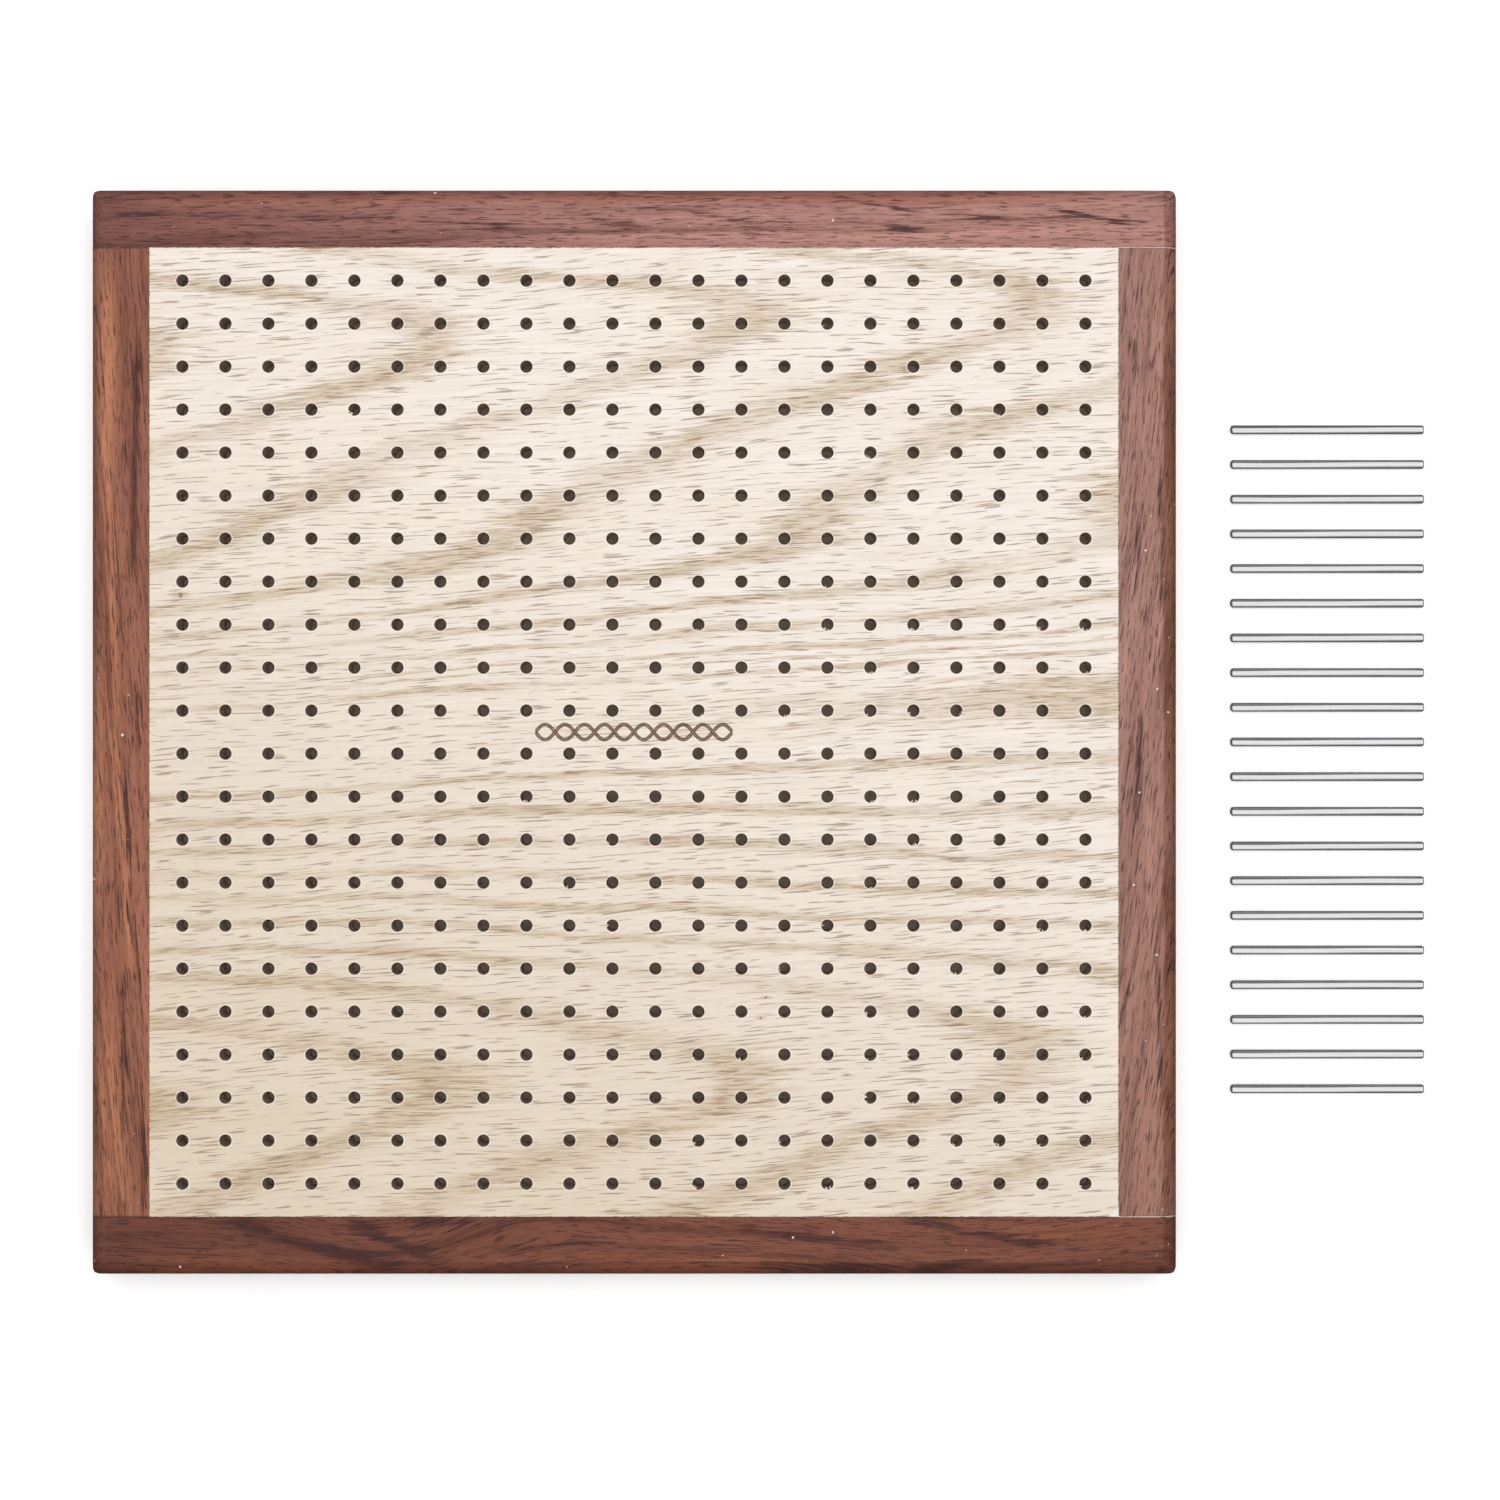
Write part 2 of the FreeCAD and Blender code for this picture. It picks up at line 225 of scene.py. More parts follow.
def veneer_figure(s):
    """Colour and height of the pale oak, before the marks of use."""
    # Along and across the grain, with the slow waver of a real board.
    waver = s.noise_over((s.x, s.y), (9.0, 22.0), 3.0, detail=2.0)
    across = s.plus(s.minus(s.y, s.times(s.x, GRAIN_SLOPE)), s.centred(waver, 9 * MM))
    sway = s.noise_over((s.x, s.y), (14.0, 45.0), 8.0, detail=1.0)
    along = s.plus(s.x, s.centred(sway, 26 * MM))

    # The growth rings, feathered by fibres that run past the edge of a band.
    from_far_edge = s.minus(PANEL_HALF + FIGURE_SHIFT, across)
    profile = s.curve(s.times(from_far_edge, 1 / (PROFILE_LENGTH * MM)),
                      [(mm / PROFILE_LENGTH, rings / PROFILE_HEIGHT) for mm, rings in GRAIN_PROFILE])
    fibre = s.noise_over((s.x, across), (38.0, 1500.0), 1.0, detail=2.0)
    arching = s.plus(s.ramp(from_far_edge, 72 * MM, 134 * MM, 1.0, 0.12),
                     s.ramp(from_far_edge, 142 * MM, 198 * MM, 0.0, 0.88))
    rings = s.plus(s.times(s.plus(along, PANEL_HALF), arching, 1 / RING_LENGTH),
                   s.times(profile, PROFILE_HEIGHT), s.centred(fibre, 0.75))
    phase = s.maths("FRACT", s.plus(rings, BAND_SHIFT))
    band = s.times(s.ramp(phase, 0.0, 0.16), s.ramp(phase, 0.24, 0.46, 1.0, 0.0))
    patches = s.noise_over((s.x, s.y), (16.0, 34.0), 5.0, detail=2.0)
    band = s.times(band, s.ramp(patches, 0.30, 0.62, 0.35, 1.0))

    # The pale ground: pinkish at the far right, yellower towards the near left, and lighter towards the far
    # right as painted light.
    yellowish, pinkish = srgb(211, 196, 176), srgb(231, 222, 214)
    clouded, silky = srgb(222, 210, 196), srgb(196, 180, 158)
    tone_and_light_drift = s.ramp(s.plus(s.y, s.times(s.x, 0.60)), -200 * MM, 100 * MM)
    ground = s.mix(tone_and_light_drift, yellowish, pinkish)
    blotch = s.noise_over((s.x, s.y), (20.0, 60.0), 11.0, detail=3.0)
    ground = s.mix(s.ramp(blotch, 0.35, 0.70, 0.0, 0.35), ground, clouded)
    silk = s.noise_over((s.x, across), (34.0, 1300.0), 2.0, detail=3.0)
    ground = s.mix(s.ramp(silk, 0.30, 0.75, 0.0, 0.34), ground, silky)
    ring_tan = srgb(176, 150, 112)
    colour = s.tint(ground, band, 0.50, ring_tan)

    # Pores: long thin dashes everywhere, and short crowded ones in the bands.
    pore_brown, ring_pore_brown = srgb(134, 110, 92), srgb(144, 116, 82)
    dash = s.noise_over((s.x, across), (96.0, 1900.0), 6.0, detail=1.0)
    long_pore = s.ramp(dash, 0.60, 0.665)
    speck = s.noise_over((s.x, across), (150.0, 2300.0), 4.0, detail=1.5)
    short_pore = s.times(s.ramp(speck, 0.50, 0.62), band)
    colour = s.tint(colour, long_pore, 0.66, pore_brown)
    colour = s.tint(colour, short_pore, 0.62, ring_pore_brown)
    height = s.minus(s.times(silk, 0.35), s.plus(long_pore, s.times(short_pore, 0.7)))

    # Three pin knots, each a dark dot in a small stain that the grain draws out.
    stain_brown, knot_brown = srgb(178, 142, 112), srgb(112, 78, 60)
    for x, y, radius in PIN_KNOTS:
        u = s.minus(s.x, x * MM)
        v = s.minus(across, (y - x * GRAIN_SLOPE) * MM)
        to_dot = s.maths("SQRT", s.plus(s.times(u, u), s.times(v, v)))
        to_stain = s.maths("SQRT", s.plus(s.times(u, u, STAIN_STRETCH), s.times(v, v)))
        stain = s.ramp(to_stain, 0.3 * radius * MM, 1.3 * radius * MM, 1.0, 0.0)
        dot = s.ramp(to_dot, 0.4 * radius * MM, 0.8 * radius * MM, 1.0, 0.0)
        colour = s.tint(colour, stain, 0.45, stain_brown)
        colour = s.tint(colour, dot, 0.65, knot_brown)
    return colour, height


def yarn_twist_mark(s):
    """A plain burnt mark in the middle of the panel, two plies of yarn twisted together: 1 on its lines."""
    turn_length = 11 * MM
    reach = 2.1 * MM                    # of a ply to each side
    half_length = 27.5 * MM             # two and a half turns each way
    half_line = 0.44 * MM
    soft_edge = 0.12 * MM
    per_metre = 2 * math.pi / turn_length
    phase = s.times(s.x, per_metre)
    slope = s.times(s.maths("COSINE", phase), reach * per_metre)
    steepness = s.maths("SQRT", s.plus(1.0, s.times(slope, slope)))
    lines = []
    for side in (1, -1):
        ply = s.times(s.maths("SINE", phase), side * reach)
        across = s.maths("DIVIDE", s.maths("ABSOLUTE", s.minus(s.y, ply)), steepness)
        line = s.ramp(across, half_line, half_line + soft_edge, 1.0, 0.0)
        paler_core = s.ramp(across, 0.05 * MM, 0.30 * MM, 0.84, 1.0)
        lines.append(s.times(line, paler_core))
    inside = s.ramp(s.maths("ABSOLUTE", s.x), half_length, half_length + 0.1 * MM, 1.0, 0.0)
    tone = s.noise_over((s.x, s.y), (700.0, 1800.0), 2.0, detail=2.0)
    return s.times(s.maths("MAXIMUM", *lines), inside, s.ramp(tone, 0.25, 0.50, 0.76, 1.0))


def hole_distance(s):
    """Distance to the middle of the nearest peg hole."""
    offsets = []
    for value in (s.x, s.y):
        cell = s.maths("FRACT", s.plus(s.times(value, 1 / HOLE_PITCH), HOLES_PER_SIDE / 2))
        offsets.append(s.centred(cell, HOLE_PITCH))
    across, along = offsets
    return s.maths("SQRT", s.plus(s.times(across, across), s.times(along, along)))


def veneer_material():
    s = Shader("face_veneer_oak")
    bare_fibre, hole_wall_shade_brown = srgb(238, 230, 218), srgb(96, 74, 58)
    joint_brown, glue_white, burnt = srgb(92, 58, 44), srgb(224, 226, 220), srgb(88, 54, 36)
    colour, height = veneer_figure(s)

    # Each drilled hole has a pale, slightly torn rim, and its wall is darkened as painted shade.
    to_hole = hole_distance(s)
    tear = s.noise_over((s.x, s.y), (900.0, 900.0), detail=2.0)
    rim = s.ramp(s.plus(to_hole, s.centred(tear, 0.5 * MM)),
                 HOLE_RADIUS + 0.14 * MM, HOLE_RADIUS + 0.46 * MM, 1.0, 0.0)
    colour = s.tint(colour, rim, 0.60, bare_fibre)
    hole_wall_shade = s.ramp(to_hole, HOLE_RADIUS + 0.02 * MM, HOLE_RADIUS + 0.08 * MM, 1.0, 0.0)
    colour = s.tint(colour, hole_wall_shade, 0.9, hole_wall_shade_brown)

    # The joint with the frame is a dark, broken line, and glue has filled its near right corner.
    edge = s.minus(PANEL_HALF, s.maths("MAXIMUM", s.maths("ABSOLUTE", s.x), s.maths("ABSOLUTE", s.y)))
    nibble = s.noise_over((s.x, s.y), (900.0, 900.0), 7.0, detail=4.0)
    gap_width = s.ramp(nibble, 0.40, 0.72, 0.06 * MM, 0.42 * MM)
    gap = s.ramp(edge, gap_width, 0.0)
    colour = s.tint(colour, gap, 0.8, joint_brown)
    corner = s.plus(s.minus(PANEL_HALF, s.x), s.plus(PANEL_HALF, s.y))
    filler = s.ramp(s.plus(corner, s.centred(nibble, 3 * MM)), 2.2 * MM, 3.2 * MM, 1.0, 0.0)
    colour = s.tint(colour, filler, 0.75, glue_white)

    mark = yarn_twist_mark(s)
    colour = s.tint(colour, mark, 0.95, burnt)
    burn_depth = 1.5                    # in depths of a pore
    height = s.minus(height, s.times(mark, burn_depth))
    roughness = s.ramp(height, -1.2, 0.4, 0.78, 0.58)
    return s.finish(colour, roughness, height, distance=PORE_DEPTH, strength=0.6,
                    Specular_IOR_Level=WOOD_GLOSS)


# ---------------------------------------------------------------- the walnut frame

# The figure of each member, given as bands of another tone along the grain. Each band is
# (from, to, depth there, depth at its other end, width), in mm: along the member, and inward
# from the frame's outer edge.
TOP_RAIL_BANDS = {
    "warm": [(-150, -20, 4.2, 2.4, 4.6), (-60, 152, 2.6, 2.8, 5.6)],
    "pale": [(-40, 60, 13.6, 14.4, 3.4), (40, 140, 13.8, 12.6, 3.2)],
    "dark": [(-152, -92, 7.2, 8.6, 1.5), (-100, -60, 8.2, 9.0, 2.0), (-66, -28, 9.4, 10.9, 1.8),
             (-16, 4, 8.8, 10.6, 2.2), (3, 26, 5.4, 7.6, 1.6), (14, 38, 8.8, 10.4, 1.6),
             (60, 78, 3.8, 6.0, 1.4), (58, 88, 9.4, 12.4, 1.8), (84, 110, 7.2, 8.8, 1.4),
             (112, 144, 6.0, 11.0, 1.8)],
}
BOTTOM_RAIL_BANDS = {
    "warm": [(-148, -60, 4.0, 1.6, 5.0), (-30, 60, 4.6, 3.8, 6.0), (100, 152, 12.5, 11.0, 6.4)],
    "pale": [(-60, 10, 2.4, 7.4, 2.0), (20, 66, 5.0, 9.6, 2.0), (-140, -100, 7.6, 7.0, 3.0)],
    "dark": [(-124, -58, 16.0, 2.2, 6.0), (-84, -50, 15.5, 3.6, 5.4), (-64, -42, 14.4, 16.0, 3.4),
             (-46, -4, 7.0, 10.6, 2.6), (14, 80, 15.0, 7.6, 4.2), (62, 124, 17.0, 8.2, 3.8),
             (74, 104, 1.6, 4.4, 2.0), (30, 74, 3.0, 1.4, 2.8)],
}
LEFT_STILE_BANDS = {
    "warm": [(-76, 20, 12.2, 5.6, 4.0), (-20, 110, 7.8, 3.4, 3.2), (-140, -70, 6.6, 4.4, 7.0),
             (60, 138, 4.6, 6.2, 5.4), (-60, 30, 2.2, 3.0, 2.6)],
    "pale": [(-74, 14, 12.2, 5.8, 2.4), (-10, 110, 7.6, 3.4, 1.6), (-140, -84, 8.6, 5.4, 2.2)],
    "dark": [(-78, -36, 14.6, 10.6, 2.0), (-8, 16, 13.2, 13.8, 2.6), (-120, -60, 8.8, 9.8, 1.6),
             (-140, -90, 14.2, 13.6, 2.4), (30, 120, 11.4, 13.4, 2.8), (-44, -6, 10.6, 9.6, 1.6),
             (20, 70, 9.0, 6.4, 1.4)],
}
RIGHT_STILE_BANDS = {
    "warm": [(-40, 140, 2.0, 2.4, 5.2), (-140, -20, 3.0, 2.2, 4.4)],
    "pale": [(-2, 44, 9.8, 3.4, 1.8), (-90, -10, 6.4, 9.0, 2.0), (60, 120, 9.4, 11.2, 3.0)],
    "dark": [(96, 112, 11.0, 11.8, 2.6), (20, 84, 4.4, 5.2, 1.6), (34, 60, 12.6, 11.4, 2.0),
             (-30, 10, 12.0, 10.2, 2.2), (-110, -60, 4.6, 5.6, 1.8)],
}

RING_SLANT = 0.85           # the rings go this far inward for each step down the side
TAPER = 0.28                # the share of a band's length over which each of its ends fades

# Offsets that keep the noises of one member apart.
BROAD, FINE, VEIN, CRUMB, SQUEEZE = 2.2, 5.2, 9.2, 9.0, 5.0


def band_mask(s, along, depth, bands):
    """One mask for a list of bands: soft across the grain and tapered at both ends."""
    mask = 0.0
    for start, end, depth_there, depth_further, width in bands:
        middle = s.ramp(along, start * MM, end * MM, depth_there * MM, depth_further * MM)
        off_middle = s.maths("ABSOLUTE", s.minus(depth, middle))
        body = s.ramp(off_middle, 0.12 * width * MM, 0.60 * width * MM, 1.0, 0.0)
        taper = TAPER * (end - start)
        ends = s.times(s.ramp(along, start * MM, (start + taper) * MM),
                       s.ramp(along, (end - taper) * MM, end * MM, 1.0, 0.0))
        mask = s.maths("MAXIMUM", mask, s.times(body, ends))
    return mask


def add_swirls(s, along, across, swirls):
    """Bend the grain round each (place along, depth, half length, half width, height) bulge, in mm."""
    for place, depth, half_length, half_width, height in swirls:
        u = s.times(s.minus(along, place * MM), 1 / (half_length * MM))
        v = s.times(s.minus(across, depth * MM), 1 / (half_width * MM))
        squared = s.plus(s.times(u, u), s.times(v, v))
        across = s.plus(across, s.times(s.maths("POWER", math.exp(-1), squared), height * MM))
    return across


def walnut_material(name, along_x, seed, tones, bands, lean=0.0, swirls=(), contrast=1.0):
    """Oiled walnut with its grain along X or Y. Its tones are those of its lower and higher end along
    that axis, and a warm one."""
    s = Shader(f"{name}_walnut")
    shadow_tone, side_shade_tone = srgb(182, 166, 162), srgb(196, 166, 146)
    vein_ink, open_pore = srgb(58, 34, 36), srgb(54, 30, 30)
    filler_crumb, joint_brown, dry_glue = srgb(214, 204, 198), srgb(58, 34, 28), srgb(204, 184, 174)
    along, across = (s.x, s.y) if along_x else (s.y, s.x)
    outside = s.minus(FRAME_HALF, s.maths("MAXIMUM", s.maths("ABSOLUTE", s.x), s.maths("ABSOLUTE", s.y)))

    # The grain's own line: it leans, wavers along the piece and bends round the swirls. The growth
    # rings slant through the member, so going down its side is like going inward on its top.
    waver = s.noise_over((along, across), (11.0, 34.0), seed, detail=2.0)
    below = s.minus(TOP, s.z)
    depth = s.plus(s.minus(FRAME_HALF, s.maths("ABSOLUTE", across)), s.times(below, RING_SLANT))
    depth = s.plus(depth, s.centred(waver, 4 * MM))
    grain = add_swirls(s, along, s.plus(depth, s.times(along, lean)), swirls)

    # Streaks of heartwood, finer lines and fibres, added up: dark below zero and light above it.
    broad = s.noise_over((along, grain), (6.0, 210.0), seed + BROAD, detail=4.0, roughness=0.60)
    fine = s.noise_over((along, grain), (24.0, 760.0), seed + FINE, detail=3.0, roughness=0.62)
    fibre = s.noise_over((along, grain, s.z), (95.0, 2500.0, 2500.0), detail=2.0)
    streaks = s.plus(s.times(s.ramp(broad, 0.28, 0.72, -0.44, 0.44), contrast),
                     s.ramp(fine, 0.32, 0.68, -0.26, 0.26), s.ramp(fibre, 0.30, 0.70, -0.26, 0.26))

    # Warm, pale and dark bands, with edges that the fibres fray.
    frayed = s.plus(depth, s.centred(fine, 5.0 * MM), s.centred(broad, 3.0 * MM))
    warm = band_mask(s, along, frayed, bands["warm"])
    pale = band_mask(s, along, frayed, bands["pale"])
    dark = band_mask(s, along, frayed, bands["dark"])
    tone = s.plus(streaks, s.times(pale, 0.35), s.times(dark, -0.70))
    low_end, high_end, warm_tone = tones
    # On the top rail and the right stile the end tones carry part of a painted sheen.
    base = s.mix(s.ramp(along, -FRAME_HALF, 0.3 * FRAME_HALF), low_end, high_end)
    base = s.tint(base, warm, 0.75, warm_tone)
    shadow = s.mix(1.0, base, shadow_tone, "MULTIPLY")
    colour = s.mix(s.ramp(tone, -1.05, 0.15, 1.0, 0.0), base, shadow)
    colour = s.mix(s.ramp(tone, -0.10, 1.05, 0.0, 0.40), colour, s.scaled(base, 1.85))

    # Ink-dark veins crowd into the dark bands. Open pores are short dashes everywhere.
    vein = s.noise_over((along, grain), (70.0, 1400.0), seed + VEIN, detail=2.0, roughness=0.55)
    inked = s.ramp(s.plus(vein, s.times(dark, 0.13)), 0.60, 0.70)
    colour = s.tint(colour, inked, 0.78, vein_ink)
    pore_noise = s.noise_over((along, grain, s.z), (200.0, 2100.0, 2100.0), detail=1.5)
    pore = s.ramp(s.plus(pore_noise, s.times(dark, 0.03)), 0.56, 0.65)
    colour = s.tint(colour, pore, 0.62, open_pore)

    # The sawn ends drink more oil. The round-over is darkened as painted shade, most of all on the right and
    # near sides.
    facing = s.add("ShaderNodeSeparateXYZ", Vector=s.add("ShaderNodeNewGeometry").outputs["Normal"])
    end_grain = s.ramp(s.maths("ABSOLUTE", facing.outputs["X" if along_x else "Y"]), 0.75, 0.98)
    colour = s.tint(colour, end_grain, 0.5, s.scaled(base, 0.45))
    on_top = s.ramp(below, EDGE_ROUND - 0.5 * MM, EDGE_ROUND + 2.5 * MM, 1.0, 0.15)
    round_over_shade = s.times(s.ramp(outside, 0.2 * MM, 2.4 * MM, 0.40, 0.0), on_top)
    colour = s.mix(round_over_shade, colour, s.scaled(base, 0.42))
    # Painted shade on the round-over of the right-hand and near sides.
    to_shaded_side = s.maths("MINIMUM", s.minus(FRAME_HALF, s.x), s.plus(FRAME_HALF, s.y))
    side_shade = s.ramp(s.plus(to_shaded_side, s.centred(fine, 0.8 * MM)),
                   EDGE_ROUND - 0.5 * MM, EDGE_ROUND + 0.3 * MM, 0.62, 0.0)
    colour = s.mix(s.times(side_shade, on_top), colour, s.mix(1.0, colour, side_shade_tone, "MULTIPLY"))

    # The start of the round-over is paled in patches, partly by handling and partly as a painted highlight,
    # and a few crumbs of filler are left.
    rub_and_highlight_noise = s.noise_over((s.x, s.y), (90.0, 90.0), seed, detail=3.0)
    arris = s.ramp(s.maths("ABSOLUTE", s.minus(outside, EDGE_ROUND)), 0.1 * MM, 0.8 * MM, 1.0, 0.0)
    rub = s.times(arris, s.ramp(rub_and_highlight_noise, 0.46, 0.70))
    colour = s.tint(colour, rub, 0.22, s.scaled(base, 1.7))
    crumb_noise = s.noise_over((s.x, s.y), (620.0, 620.0), seed + CRUMB, detail=0.0)
    crumb = s.ramp(crumb_noise, 0.876, 0.884)
    colour = s.tint(colour, crumb, 0.85, filler_crumb)

    # Each corner joint is a dark line with pale glue in places, the more so towards the far right.
    squeeze = s.noise_over((s.x, s.y), (260.0, 60.0), seed + SQUEEZE, detail=3.0)
    seam = s.maths("ABSOLUTE", s.minus(s.maths("ABSOLUTE", s.y), PANEL_HALF))
    beside_panel = s.ramp(s.maths("ABSOLUTE", s.x), PANEL_HALF - 0.1 * MM, PANEL_HALF + 0.1 * MM)
    line = s.times(s.ramp(seam, 0.08 * MM, 0.26 * MM, 1.0, 0.0), beside_panel)
    dark_line = s.times(s.ramp(seam, 0.15 * MM, 0.55 * MM, 1.0, 0.0), beside_panel)
    colour = s.tint(colour, dark_line, 0.55, joint_brown)
    more_glue = s.ramp(s.plus(s.x, s.times(s.y, 0.5)), -200 * MM, 80 * MM, -0.24, 0.10)
    glue = s.times(line, s.ramp(s.plus(squeeze, more_glue), 0.46, 0.60))
    colour = s.tint(colour, glue, 0.8, dry_glue)

    height = s.minus(s.times(fibre, 0.3), s.plus(pore, s.times(inked, 0.3), s.times(dark_line, 1.2)))
    height = s.plus(height, s.times(glue, 1.5))
    roughness = s.plus(s.ramp(fibre, 0.3, 0.7, 0.40, 0.50), s.times(pore, 0.2))
    return s.finish(colour, roughness, height, distance=PORE_DEPTH, strength=0.55,
                    Specular_IOR_Level=WOOD_GLOSS)


# ---------------------------------------------------------------- the plainer materials

def board_material(name, dark, light, seed, upper_wall_shade=0.0):
    """Board of fine pale fibres in a darker ground, which can be darkened near the top as painted shade in
    its hole walls.
    """
    s = Shader(name)
    upper_wall_shade_tone = srgb(118, 98, 86)
    flake = s.noise_over((s.x, s.y, s.z), (320.0, 900.0, 900.0), seed, detail=4.0, roughness=0.65)
    cloud = s.noise_over((s.x, s.y), (18.0, 50.0), seed, detail=3.0)
    colour = s.mix(s.ramp(flake, 0.32, 0.68), dark, light)
    colour = s.mix(s.ramp(cloud, 0.35, 0.70, 0.0, 0.35), colour, dark)
    # Painted shade on the hole walls near the top.
    colour = s.mix(s.ramp(s.z, TOP - 8 * MM, TOP - 0.6 * MM, 0.0, upper_wall_shade), colour, upper_wall_shade_tone)
    return s.finish(colour, s.ramp(flake, 0.3, 0.7, 0.82, 0.68), flake, distance=0.08 * MM,
                    strength=0.6, Specular_IOR_Level=0.3)


def dowel_material():
    s = Shader("dowel_beech")
    fleck = s.noise_over((s.x, s.y, s.z), (1400.0, 160.0, 1400.0), detail=3.0)
    colour = s.mix(s.ramp(fleck, 0.35, 0.65), srgb(196, 152, 108), srgb(224, 190, 150))
    return s.finish(colour, s.ramp(fleck, 0.3, 0.7, 0.6, 0.7), fleck, distance=PORE_DEPTH)


def steel_material():
    """Polished stainless rod, drawn along X and never quite straight, with faint lines and a few rubs."""
    s = Shader("pin_steel")
    draw = s.noise_over((s.x, s.y, s.z), (45.0, 5200.0, 5200.0), detail=3.0)
    rub = s.noise_over((s.x, s.y, s.z), (300.0, 700.0, 700.0), detail=3.0)
    colour = s.mix(s.ramp(draw, 0.30, 0.70), srgb(234, 234, 235), srgb(246, 246, 247))
    roughness = s.plus(s.ramp(rub, 0.40, 0.75, 0.12, 0.24), s.times(draw, 0.06))

    # The surface rolls a few degrees about the rod, more so towards the tail, so its reflections wander.
    number = s.times(s.minus(s.y, PIN_ROW), 1 / PIN_SPACING)
    nearest = s.maths("ROUND", number)
    from_axis = s.times(s.minus(number, nearest), PIN_SPACING)
    bow = s.noise_over((s.x, nearest), (26.0, 0.35), detail=1.5)
    towards_tail = s.ramp(s.x, pin_low.x, pin_high.x, -0.04, 0.13)
    roll = s.times(s.plus(towards_tail, s.centred(bow, 0.45)), from_axis)
    ripple = s.noise_over((s.x, s.y, s.z), (110.0, 300.0, 300.0), detail=1.0)
    ripple_depth, scratch_depth = 0.010 * MM, 0.0016 * MM
    height = s.plus(roll, s.times(ripple, ripple_depth), s.times(draw, scratch_depth))
    return s.finish(colour, roughness, height, distance=1.0, Metallic=1.0,
                    Specular_Tint=srgb(90, 90, 94))


def splinter_material():
    s = Shader("veneer_splinter")
    fibre = s.noise_over((s.x, s.y, s.z), (500.0, 4000.0, 900.0), detail=2.0)
    colour = s.mix(s.ramp(fibre, 0.3, 0.7), srgb(222, 204, 176), srgb(246, 238, 224))
    return s.finish(colour, s.ramp(fibre, 0.3, 0.7, 0.6, 0.75), fibre, distance=0.03 * MM)


def dress(node_names, material):
    for name in node_names:
        for material_slot in nodes[name].material_slots:
            material_slot.material = material


dress(["face_veneer"], veneer_material())
dress(["peg_core"], board_material(
    "peg_core_board", dark=srgb(222, 204, 190), light=srgb(238, 224, 212), seed=1.0, upper_wall_shade=0.85))
dress(["back_board"], board_material(
    "back_board_ply", dark=srgb(228, 213, 196), light=srgb(244, 234, 220), seed=4.0))
dress([name for name in nodes if name.startswith("dowel_")], dowel_material())
dress([name for name in nodes if name.startswith("pin_")], steel_material())

# Each member was cut from a different board, so it has bands of its own. Its tones are partly its own and
# partly painted sheen: the top rail towards its right end and the right stile are lighter and pinker than
# the bottom rail and the left stile.
dress(["top_rail"], walnut_material(
    "top_rail", along_x=True, seed=2.0, bands=TOP_RAIL_BANDS, lean=0.010,
    tones=(srgb(112, 70, 62), srgb(158, 114, 105), srgb(146, 92, 76))))
dress(["bottom_rail"], walnut_material(
    "bottom_rail", along_x=True, seed=31.0, bands=BOTTOM_RAIL_BANDS,
    tones=(srgb(102, 58, 44), srgb(114, 67, 51), srgb(124, 72, 48)),
    swirls=((-30, 17, 30, 8, -5), (-70, 8, 34, 24, 7), (95, 8, 50, 20, 5), (30, 2, 50, 10, -3))))
dress(["left_stile"], walnut_material(
    "left_stile", along_x=False, seed=57.0, bands=LEFT_STILE_BANDS, lean=0.075,
    tones=(srgb(147, 94, 71), srgb(134, 84, 66), srgb(168, 110, 80))))
dress(["right_stile"], walnut_material(
    "right_stile", along_x=False, seed=83.0, bands=RIGHT_STILE_BANDS, lean=0.14, contrast=0.8,
    tones=(srgb(146, 104, 90), srgb(152, 112, 101), srgb(132, 84, 62))))


# ---------------------------------------------------------------- torn veneer in some of the holes

def add_splinter(mesh, middle, angle, reach, width):
    """A thin pointed flake of veneer that leans into a hole from its rim."""
    outward = Vector((math.cos(angle), math.sin(angle), 0))
    sideways = Vector((-math.sin(angle), math.cos(angle), 0))
    bite = 0.05 * MM                    # how far its root is set in the rim
    thickness = 0.12 * MM
    root = middle + outward * (HOLE_RADIUS + bite)
    tip = middle + outward * (HOLE_RADIUS - reach)
    drop = Vector((0, 0, -0.30 * reach))
    outline = [root - sideways * width / 2, root + sideways * width / 2,
               tip + sideways * width * 0.22 + drop, tip - sideways * width * 0.10 + drop * 1.3]
    top = [mesh.verts.new(point) for point in outline]
    under = [mesh.verts.new(point - Vector((0, 0, thickness))) for point in outline]
    mesh.faces.new(top)
    mesh.faces.new(list(reversed(under)))
    for i in range(4):
        j = (i + 1) % 4
        mesh.faces.new((top[j], top[i], under[i], under[j]))


def add_splinters():
    """Most holes are clean. The drill tore more of them towards the near right-hand corner."""
    anywhere, at_corner = 0.015, 0.75       # the chances that a hole is torn
    below_top = 0.02 * MM
    chance = random.Random(7)
    mesh = bmesh.new()
    for column in range(HOLES_PER_SIDE):
        for row in range(HOLES_PER_SIDE):
            middle = Vector((column * HOLE_PITCH - HOLE_REACH, row * HOLE_PITCH - HOLE_REACH,
                             TOP - below_top))
            near_corner = (column / HOLES_PER_SIDE) ** 2.5 * (1 - 0.8 * row / HOLES_PER_SIDE) ** 1.5
            if chance.random() > anywhere + at_corner * near_corner:
                continue
            first = math.radians(chance.gauss(225, 35))         # mostly on the hole's near left side
            for flake in range(chance.randint(1, 3)):
                add_splinter(mesh, middle, first + flake * chance.uniform(0.25, 0.5),
                             chance.uniform(0.30, 0.80) * MM, chance.uniform(0.25, 0.50) * MM)
    bmesh.ops.recalc_face_normals(mesh, faces=mesh.faces)
    data = bpy.data.meshes.new("hole_splinters")
    mesh.to_mesh(data)
    mesh.free()
    data.materials.append(splinter_material())
    splinters = bpy.data.objects.new("hole_splinters", data)
    bpy.context.scene.collection.objects.link(splinters)
    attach(splinters, "board")


add_splinters()


# ---------------------------------------------------------------- floor, light and camera

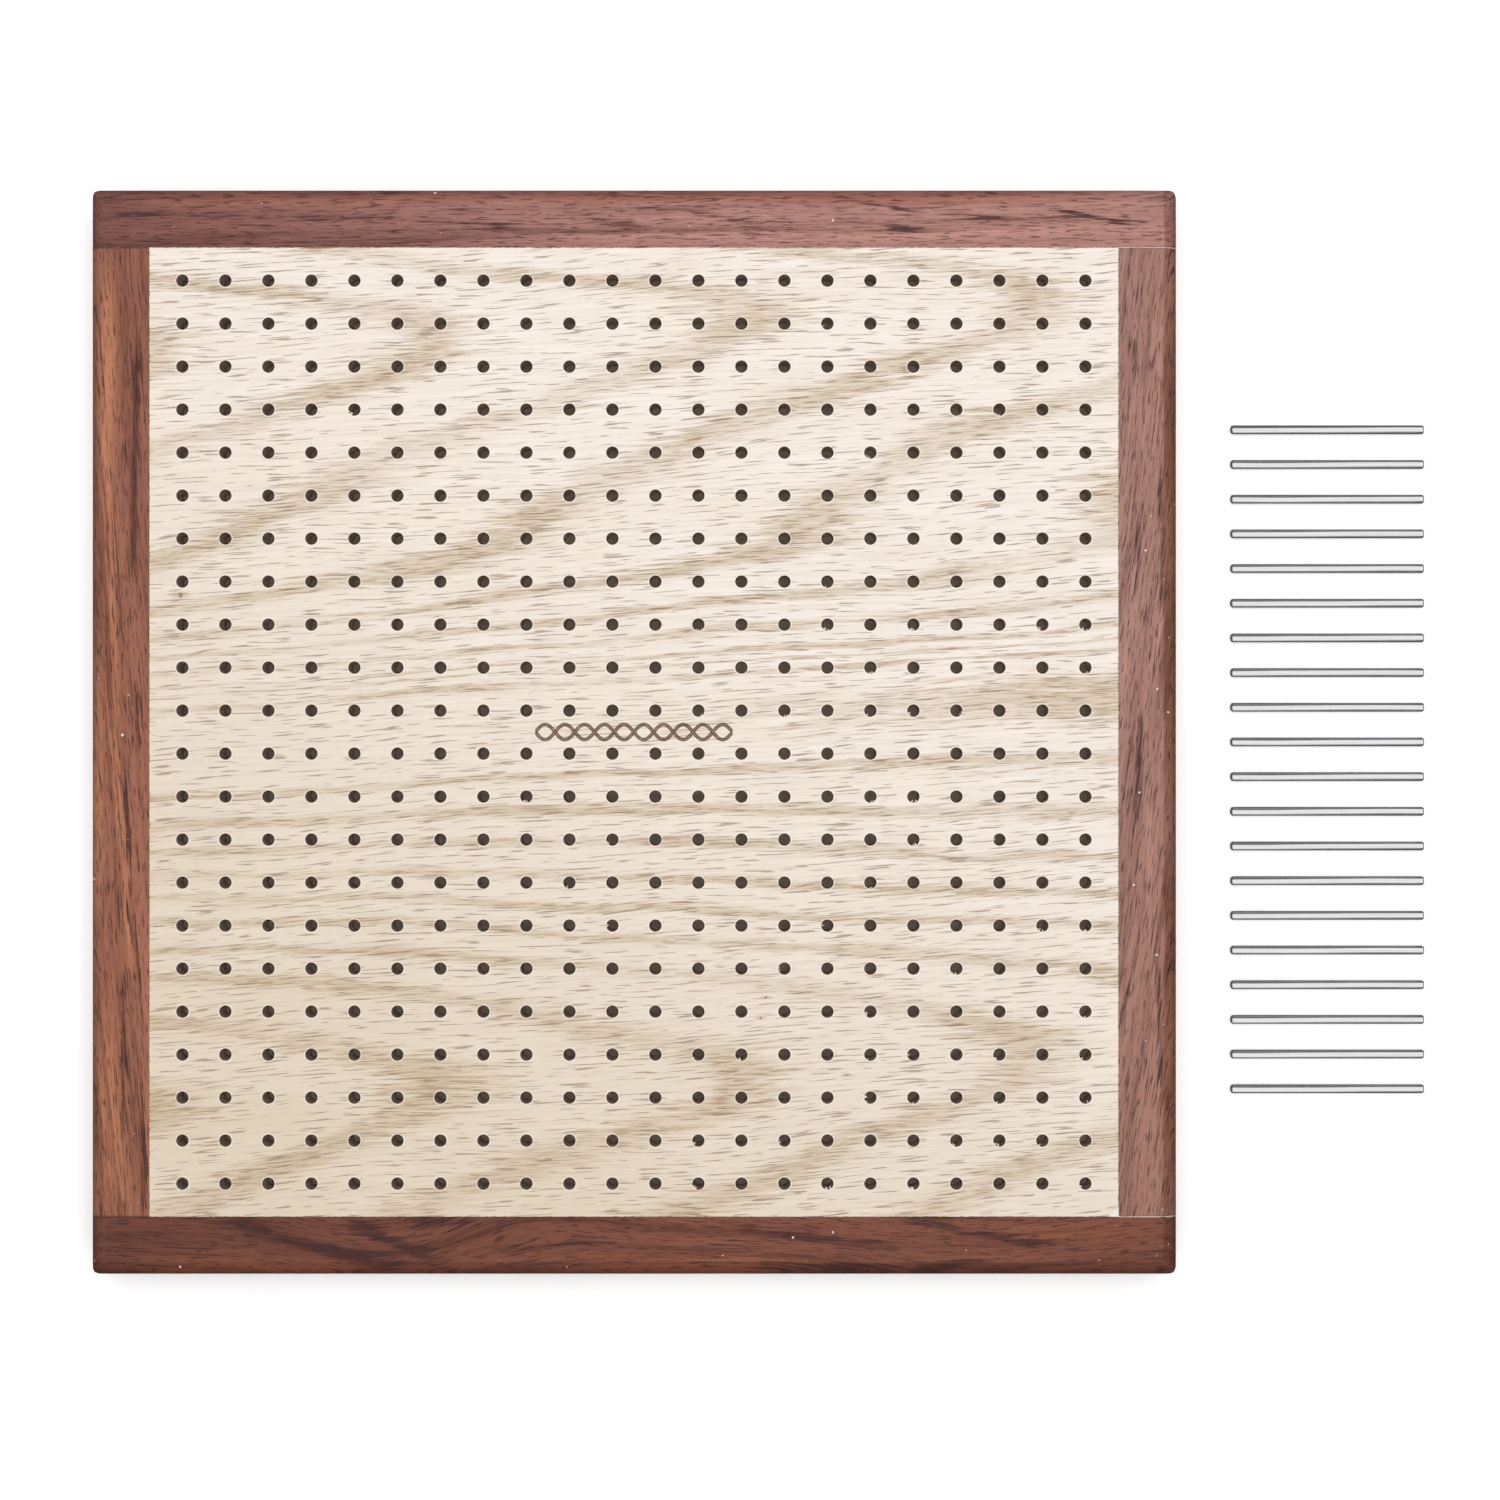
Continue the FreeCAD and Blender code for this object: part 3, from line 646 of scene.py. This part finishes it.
def add_floor():
    """White, and lit from within, more so where the lamps no longer reach, so that it has no horizon."""
    side, below_board = 40, 0.02 * MM
    bpy.ops.mesh.primitive_plane_add(size=side, location=(0, 0, -below_board))
    floor = bpy.context.object
    floor.name = "floor"
    s = Shader("floor_white")
    cloud = s.noise(s.vector(s.x, s.y), detail=2.0, scale=3.0)
    distance = s.maths("SQRT", s.plus(s.times(s.x, s.x), s.times(s.y, s.y)))
    s.feed(s.surface.inputs["Emission Strength"], s.ramp(distance, 0.5, 2.0, 0.15, 0.50))
    floor.data.materials.append(s.finish(s.mix(cloud, srgb(247, 247, 247), srgb(251, 251, 251)), 0.75,
                                         Specular_IOR_Level=0.2, Emission_Color=srgb(255, 255, 255)))
    floor.visible_glossy = False        # the steel mirrors the tent's dark foot, not the floor


def add_softbox(name, place, side, power):
    """A square soft light over the board, aimed at its middle, that the steel doesn't mirror."""
    data = bpy.data.lights.new(name, "AREA")
    data.shape = "SQUARE"
    data.size = side
    data.energy = power
    light = bpy.data.objects.new(name, data)
    light.visible_glossy = False
    light.location = place
    light.rotation_euler = (-Vector(place)).to_track_quat("-Z", "Y").to_euler()
    bpy.context.scene.collection.objects.link(light)


def add_world():
    """A white tent: bright overhead, dark near the horizon and more so at the back, plain to look at."""
    dark_up_to, bright_from = 0.12, 0.45        # height in the tent, from -1 to 1
    dark, bright = 0.14, 0.90
    back_wall = 0.60                            # how much further up the dark reaches at the back
    world = bpy.data.worlds.new("studio")
    bpy.context.scene.world = world
    world.use_nodes = True
    tree = world.node_tree

    def maths(operation, a, b):
        node = tree.nodes.new("ShaderNodeMath")
        node.operation = operation
        for socket, value in zip(node.inputs, (a, b)):
            if isinstance(value, bpy.types.NodeSocket):
                tree.links.new(value, socket)
            else:
                socket.default_value = value
        return node.outputs[0]

    direction = tree.nodes.new("ShaderNodeTexCoord")
    parts = tree.nodes.new("ShaderNodeSeparateXYZ")
    tree.links.new(direction.outputs["Generated"], parts.inputs[0])
    height = tree.nodes.new("ShaderNodeMapRange")
    height.interpolation_type = "SMOOTHSTEP"
    backdrop = maths("MULTIPLY", maths("MAXIMUM", parts.outputs["Y"], 0.0), back_wall)
    tree.links.new(maths("SUBTRACT", parts.outputs["Z"], backdrop), height.inputs["Value"])
    for name, number in (("From Min", dark_up_to), ("From Max", bright_from),
                         ("To Min", dark), ("To Max", bright)):
        height.inputs[name].default_value = number
    light = height.outputs[0]

    # The camera sees the tent's wall as plain white.
    seen = tree.nodes.new("ShaderNodeLightPath").outputs["Is Camera Ray"]
    strength = maths("MAXIMUM", light, seen)
    background = tree.nodes["Background"]
    background.inputs["Color"].default_value = (1.0, 1.0, 1.0, 1.0)
    tree.links.new(strength, background.inputs["Strength"])


def add_camera():
    """Straight above, with the board left of the picture's middle and room for the pins."""
    height = 0.90                       # above the work face
    picture_width = 418.6 * MM          # at the work face
    right, near = 32.4 * MM, 5.0 * MM   # of the board's middle
    data = bpy.data.cameras.new("camera")
    data.sensor_width = 36
    data.lens = data.sensor_width * height / picture_width
    camera = bpy.data.objects.new("camera", data)
    camera.location = (right, -near, TOP + height)
    bpy.context.scene.collection.objects.link(camera)
    bpy.context.scene.camera = camera


add_floor()
add_world()
add_softbox("key", place=(0.05, 0.46, 1.15), side=1.40, power=8.9)
add_softbox("fill", place=(0.30, -0.25, 1.20), side=0.80, power=1.5)
add_camera()
bpy.context.scene.view_settings.view_transform = "Standard"
